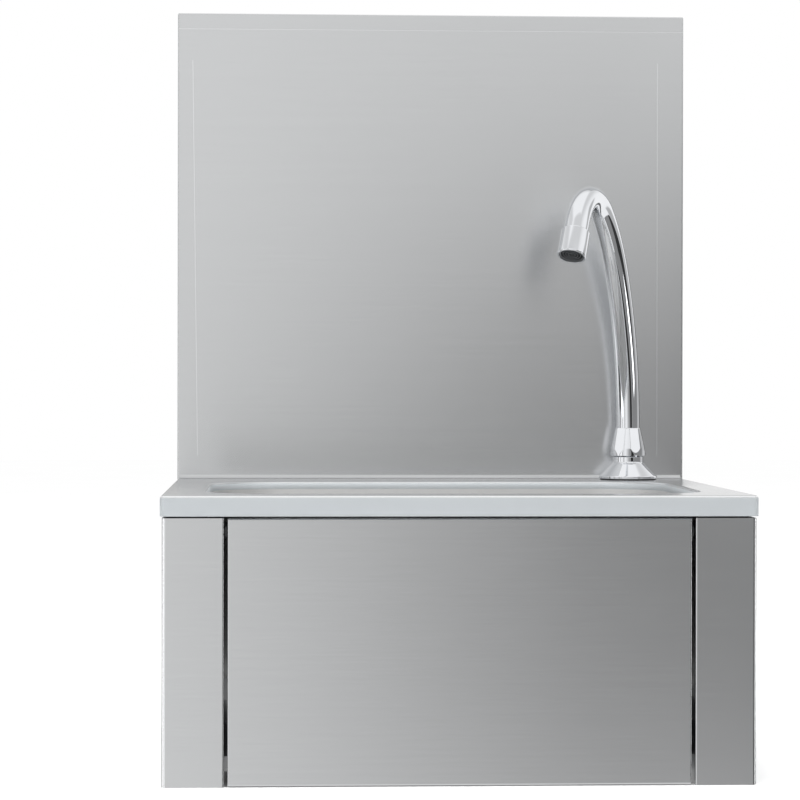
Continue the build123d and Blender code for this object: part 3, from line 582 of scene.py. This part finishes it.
# ---------------------------------------------------------------- tap
# Outlines are (radius, height) in millimetres, with the radius that each corner is rounded to.
# flange and neck: a straight cone with a thin rim, above it the collar that the nut stands over
base_outline = [(10.45, -45), (10.45, 1), (22.5, 1), (22.7, 2.6), (22.3, 3.2), (21.6, 3.9),
                (12.4, 13.1), (11.85, 14.0), (11.85, 17.8), (11.5, 18.2), (9.5, 18.2), (9.5, 28.9),
                (7.1, 28.9), (7.1, 12), (5, 10), (5, -45)]
base_radii = [0.4, 0, 0.3, 0.5, 0.5, 0.8, 0.9, 0.7, 0.3, 0.2, 0.2, 0.3, 0.3, 0, 0, 0.4]
lathe("tap_base_chromed", rounded(base_outline, base_radii), TAP_FOOT, UP, chrome, "cabinet",
      "tap_base", segments=160)

NUT_BOTTOM, NUT_TOP = 18.4, 40.5
NUT_LOW, NUT_HIGH = 13.6, 10.3  # outer radius at the band and at the top
BAND_TOP = 24.3
FLAT_TOP = 9.55  # half the distance across the flats at the top
NUT_SLOPE = (NUT_LOW - NUT_HIGH) / (NUT_TOP - BAND_TOP)
NUT_TURN = math.radians(49.4)
NUT_BORE, NUT_BORE_TOP, NUT_SEAT = 9.6, 9.08, 31.6
NUT_CORNER = 0.7  # the flats stop this far under the top
FLAT_ANGLE = math.pi / 3
FLAT_SOFTNESS = 0.09
INSIDE_RADIUS = 9.9  # points inside this radius belong to the bore and stay round


def nut_radius(r, h, angle):
    """The turned radius, cut back by six flats that run out in the round band below."""
    if r < INSIDE_RADIUS:
        return r
    flat = FLAT_TOP + NUT_SLOPE * (NUT_TOP - h)
    turned = (angle - NUT_TURN + FLAT_ANGLE / 2) % FLAT_ANGLE - FLAT_ANGLE / 2
    cut = flat / math.cos(turned)
    blend = max(0.0, min(1.0, 0.5 + (cut - r) / (4 * FLAT_SOFTNESS)))
    return cut * (1 - blend) + r * blend - FLAT_SOFTNESS * 2 * blend * (1 - blend)


def nut_outline(band_rows=14, taper_rows=20):
    band_start = NUT_BOTTOM + 0.5
    band = [(NUT_LOW, band_start + (BAND_TOP - band_start) * i / band_rows) for i in range(band_rows + 1)]
    rise = NUT_TOP - NUT_CORNER - BAND_TOP
    taper = [(NUT_LOW - NUT_SLOPE * rise * i / taper_rows, BAND_TOP + rise * i / taper_rows)
             for i in range(1, taper_rows + 1)]
    foot = [(NUT_BORE, NUT_BOTTOM), (NUT_LOW - 1.0, NUT_BOTTOM), (NUT_LOW - 0.4, NUT_BOTTOM + 0.08)]
    crown = [(NUT_HIGH + 0.06, NUT_TOP - 0.35), (NUT_HIGH - 0.15, NUT_TOP - 0.06),
             (NUT_HIGH - 0.45, NUT_TOP)]
    bore = [(NUT_BORE_TOP, NUT_TOP), (NUT_BORE_TOP, NUT_SEAT), (NUT_BORE, NUT_SEAT)]
    return foot + band + taper + crown + bore


lathe("swivel_nut_chromed", nut_outline(), TAP_FOOT, UP, chrome, "cabinet", "swivel_nut",
      segments=360, shape=nut_radius)


def spout_tube_piece(segments=96):
    side = REACH.cross(UP)
    outer = tube_rings(spout_places, spout_headings, TUBE_RADIUS, segments, side)
    inner = tube_rings(spout_places, spout_headings, TUBE_BORE, segments, side)
    verts = [v for ring in outer for v in ring] + [v for ring in inner for v in ring]
    rings = len(spout_places)
    shift = rings * segments
    faces = ring_faces(rings, segments) + ring_faces(rings, segments, first=shift, flip=True)
    for i in range(segments):
        j = (i + 1) % segments
        faces.append((j, i, shift + i, shift + j))
        last = (rings - 1) * segments
        faces.append((last + i, last + j, shift + last + j, shift + last + i))
    return mesh_piece("spout_tube_chromed", verts, faces, chrome, "spout", "spout_tube")


spout_tube_piece()

housing_outline = [(9, -21), (10.3, -21), (10.7, -20.5), (10.7, -0.7), (10.35, 0), (9.2, 0), (9.2, -5.8),
                   (9, -5.8)]
housing_radii = [0, 0.3, 0.5, 0.5, 0.35, 0.3, 0, 0]
lathe("aerator_housing_chromed", rounded(housing_outline, housing_radii), OUTLET, OUTLET_RUN,
      chrome, "spout", "aerator_housing", segments=144)

# the insert: a dished face with raised rings, crossed by thin radial ribs
RING_RADII = (6.5, 4.5, 2.5)
RING_FOOT, RING_CREST = (0.46, -2.9), (0.36, -1.5)  # half width and height
insert_outline = [(0.01, -5.2), (9.1, -5.2), (9.1, -0.9), (8.5, -0.7), (8.1, -1.0), (7.9, -2.5)]
for ring in RING_RADII:
    insert_outline += [(ring + half, height) for half, height in (RING_FOOT, RING_CREST)]
    insert_outline += [(ring - half, height) for half, height in (RING_CREST, RING_FOOT)]
insert_outline += [(0.75, -2.9), (0.6, -1.5), (0.01, -1.4)]
lathe("aerator_insert_ringed", insert_outline, OUTLET, OUTLET_RUN, aerator_plastic, "spout",
      "aerator_insert", segments=96)

RIB_ENDS = ((0.7, 0.12), (8.15, 0.2))  # distance from the axis and half width there
RIB_BOTTOM, RIB_TOP, RIB_TAPER = -2.6, -1.9, 0.7


def aerator_ribs(count=12):
    across, sideways, run = axis_frame(OUTLET_RUN)
    faces = [(0, 1, 3, 2), (4, 6, 7, 5), (0, 2, 6, 4), (1, 5, 7, 3), (2, 3, 7, 6), (0, 4, 5, 1)]
    for index in range(count):
        angle = 2 * math.pi * (index + 0.5) / count
        spoke = across * math.cos(angle) + sideways * math.sin(angle)
        flank = run.cross(spoke)
        verts = []
        for distance, half in RIB_ENDS:
            for height, width in ((RIB_BOTTOM, half), (RIB_TOP, half * RIB_TAPER)):
                for sign in (-1, 1):
                    verts.append(OUTLET + spoke * (distance * MM) + flank * (sign * width * MM)
                                 + run * (height * MM))
        mesh_piece(f"aerator_rib_{index}", verts, faces, aerator_plastic, "spout")


aerator_ribs()


# ---------------------------------------------------------------- valve spring
SPRING_WIRE, SPRING_MEAN = 0.8 * MM, 6.2 * MM  # radius of the wire and of the coil


def valve_spring_piece(segments=14, steps_per_turn=40, turns=6):
    low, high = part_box("valve_spring")
    axis_x, axis_z = (low.x + high.x) / 2, (low.z + high.z) / 2
    front, back = low.y + SPRING_WIRE, high.y - SPRING_WIRE
    total = turns * steps_per_turn
    centres = []
    for i in range(total + 1):
        t = i / total
        angle = 2 * math.pi * turns * t
        centres.append(Vector((axis_x + SPRING_MEAN * math.cos(angle), front + (back - front) * t,
                               axis_z + SPRING_MEAN * math.sin(angle))))
    directions = []
    for i in range(total + 1):
        before, after = centres[max(0, i - 1)], centres[min(total, i + 1)]
        directions.append((after - before).normalized())
    rings = tube_rings(centres, directions, SPRING_WIRE, segments, Vector((0, 1, 0)))
    verts = [v for ring in rings for v in ring]
    faces = ring_faces(len(rings), segments)
    faces.append(tuple(range(segments))[::-1])
    faces.append(tuple(len(verts) - segments + i for i in range(segments)))
    piece = mesh_piece("valve_spring_coil", verts, faces, zinc, "cabinet", "valve_spring")
    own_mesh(piece)


valve_spring_piece()


# ---------------------------------------------------------------- floor, light and reflected cards
def stage_sheet(name, corners, material):
    mesh = bpy.data.meshes.new(name)
    mesh.from_pydata(corners, [], [tuple(range(len(corners)))])
    sheet = bpy.data.objects.new(name, mesh)
    bpy.context.scene.collection.objects.link(sheet)
    mesh.materials.append(material)
    return sheet


def dimmed_by_blob(tree, level, values, blob):
    """A level dimmed round a centre by a soft round falloff: blob is (centre, widths, depth)."""
    centre, widths, depth = blob
    squares = []
    for value, middle_at, width in zip(values, centre, widths):
        offset = math_node(tree, "DIVIDE", math_node(tree, "SUBTRACT", value, middle_at), width)
        squares.append(math_node(tree, "MULTIPLY", offset, offset))
    distance = math_node(tree, "MULTIPLY", math_node(tree, "ADD", *squares), -0.5)
    falloff = math_node(tree, "MULTIPLY", math_node(tree, "EXPONENT", distance), depth)
    return math_node(tree, "MULTIPLY", level, math_node(tree, "SUBTRACT", 1.0, falloff))


def patched(tree, level, values, patch):
    """A level changed inside a soft-edged rectangle.

    A patch is (low, high on the first axis), (low, high on the second), edge width, level inside.
    """
    first, second, edge, inside = patch
    masks = []
    for value, (low, high) in zip(values, (first, second)):
        rise = smooth_step(tree, value, low - edge / 2, low + edge / 2)
        fall = smooth_step(tree, value, high + edge / 2, high - edge / 2)
        masks.append(math_node(tree, "MULTIPLY", rise, fall))
    change = math_node(tree, "MULTIPLY", math_node(tree, "MULTIPLY", *masks),
                       math_node(tree, "SUBTRACT", inside, level))
    return math_node(tree, "ADD", level, change)


def studio_card(name, corners, axes, base=1.0, blob=None, patches=()):
    """A glowing card seen only in reflections: its base level, dimmed or lifted in places."""
    material = bpy.data.materials.new(name)
    material.use_nodes = True
    tree = material.node_tree
    tree.nodes.clear()
    output = tree.nodes.new("ShaderNodeOutputMaterial")
    emission = tree.nodes.new("ShaderNodeEmission")
    emission.inputs["Strength"].default_value = base
    tree.links.new(emission.outputs["Emission"], output.inputs["Surface"])
    place = axis_values(tree)
    values = [place[axis] for axis in axes]
    level = base
    if blob:
        level = dimmed_by_blob(tree, level, values, blob)
    for patch in patches:
        level = patched(tree, level, values, patch)
    if blob or patches:
        tree.links.new(level, emission.inputs["Strength"])
    card = stage_sheet(name, corners, material)
    card.visible_camera = False
    card.visible_diffuse = False
    card.visible_shadow = False
    card.visible_transmission = False


CARD_REACH, CARD_TOP, CARD_BOTTOM = 3.0, 3.0, -2.0
PAST_BOTTOM, PAST_SIDE = CARD_BOTTOM - 1, CARD_REACH + 1  # beyond the card's own edges
CEILING_HAZE = ((-CARD_REACH - 2, CARD_REACH + 2), (1.3, 2.4), 0.9, 0.72)


def upright_card(name, across, place, blob=None, patches=()):
    """A large upright card that stands across the X or the Y axis, dimmed towards the ceiling."""
    rim = ((-CARD_REACH, CARD_BOTTOM), (CARD_REACH, CARD_BOTTOM), (CARD_REACH, CARD_TOP),
           (-CARD_REACH, CARD_TOP))
    if across == "X":
        corners, axes = [(place, a, b) for a, b in rim], "YZ"
    else:
        corners, axes = [(a, place, b) for a, b in rim], "XZ"
    studio_card(name, corners, axes, blob=blob, patches=(CEILING_HAZE, *patches))


def area_light(name, place, target, size, power):
    data = bpy.data.lights.new(name, "AREA")
    data.shape = "RECTANGLE"
    data.size, data.size_y = size
    data.energy = power
    light = bpy.data.objects.new(name, data)
    light.location = place
    light.rotation_euler = (Vector(target) - Vector(place)).to_track_quat("-Z", "Y").to_euler()
    light.visible_camera = False
    light.visible_glossy = False
    bpy.context.scene.collection.objects.link(light)


def white_world():
    world = bpy.data.worlds.new("studio")
    bpy.context.scene.world = world
    world.use_nodes = True
    background = world.node_tree.nodes["Background"]
    background.inputs["Color"].default_value = (1.0, 1.0, 1.0, 1)
    background.inputs["Strength"].default_value = 1.0
    bpy.context.scene.view_settings.view_transform = "Standard"


FLOOR_HALF = 8.0
FLOOR_GREYS = (0.985, 0.985, 0.985), (0.995, 0.995, 0.995)


def floor_sheet():
    material, tree, shader = new_material("pale_floor")
    grain = noise(tree, 6.0, detail=3.0)
    tree.links.new(mixed(tree, spread(tree, grain, 0, 1), *FLOOR_GREYS), shader.inputs["Base Color"])
    shader.inputs["Roughness"].default_value = 0.9
    shader.inputs["Specular IOR Level"].default_value = 0.0
    # seen from below the floor is clear, so the underside of the cabinet can be looked at
    geometry = tree.nodes.new("ShaderNodeNewGeometry")
    clear = tree.nodes.new("ShaderNodeBsdfTransparent")
    one_sided = tree.nodes.new("ShaderNodeMixShader")
    tree.links.new(geometry.outputs["Backfacing"], one_sided.inputs["Fac"])
    tree.links.new(shader.outputs["BSDF"], one_sided.inputs[1])
    tree.links.new(clear.outputs["BSDF"], one_sided.inputs[2])
    tree.links.new(one_sided.outputs["Shader"], tree.nodes["Material Output"].inputs["Surface"])
    half = FLOOR_HALF
    corners = [(-half, -half, 0), (half, -half, 0), (half, half, 0), (-half, half, 0)]
    floor = stage_sheet("floor", corners, material)
    floor.visible_glossy = False


white_world()
floor_sheet()
upright_card("front_card", "Y", -1.0,
             blob=((0.30, 0.10), (0.29, 0.29), 0.72),
             patches=(((-0.98, -0.86), (-0.6, 1.0), 0.03, 0.12),  # two dark strips for the chrome
                      ((-0.66, -0.60), (-0.6, 1.0), 0.03, 0.2),
                      ((0.92, PAST_SIDE), (PAST_BOTTOM, 1.1), 0.06, 0.28),  # dim to the right
                      ((0.43, 0.90), (PAST_BOTTOM, 0.46), 0.08, 0.025)))  # dark low on the right
upright_card("right_card", "X", 1.2,
             patches=(((-1.2, 0.32), (PAST_BOTTOM, 0.62), 0.08, 0.26),
                      ((0.32, 0.8), (-0.2, 0.9), 0.2, 0.5),
                      ((-0.2, 0.35), (-0.4, 0.13), 0.05, 0.04),
                      ((-0.52, -0.24), (-0.17, 0.13), 0.02, 3.0)))  # bright, for the front corner
upright_card("left_card", "X", -1.3,
             patches=(((-0.05, 0.16), (PAST_BOTTOM, 0.9), 0.05, 0.15),
                      ((0.34, 0.62), (-0.4, 0.9), 0.06, 0.25),
                      ((-0.60, -0.50), (0.15, 1.2), 0.03, 0.2),
                      ((-0.15, 0.35), (-0.4, 0.13), 0.05, 0.06),
                      ((-0.85, -0.25), (-0.17, 0.13), 0.02, 1.7)))  # bright, for the front corner
upright_card("back_card", "Y", 1.4, blob=((-0.5, 0.1), (0.45, 0.5), 0.55))

# dimness under the open cabinet, where the floor itself is left out of reflections
UNDER_INSET, UNDER_Z = 4 * MM, -1 * MM
foot_x, foot_y = abs(cad_box[0][0]) - UNDER_INSET, abs(cad_box[0][1]) - UNDER_INSET
studio_card("under_card", [(-foot_x, -foot_y, UNDER_Z), (foot_x, -foot_y, UNDER_Z),
                           (foot_x, foot_y, UNDER_Z), (-foot_x, foot_y, UNDER_Z)], "XY", base=0.3)
area_light("top_light", place=(-0.1, -0.35, 1.7), target=(0, 0, 0.2), size=(1.4, 1.0), power=24)
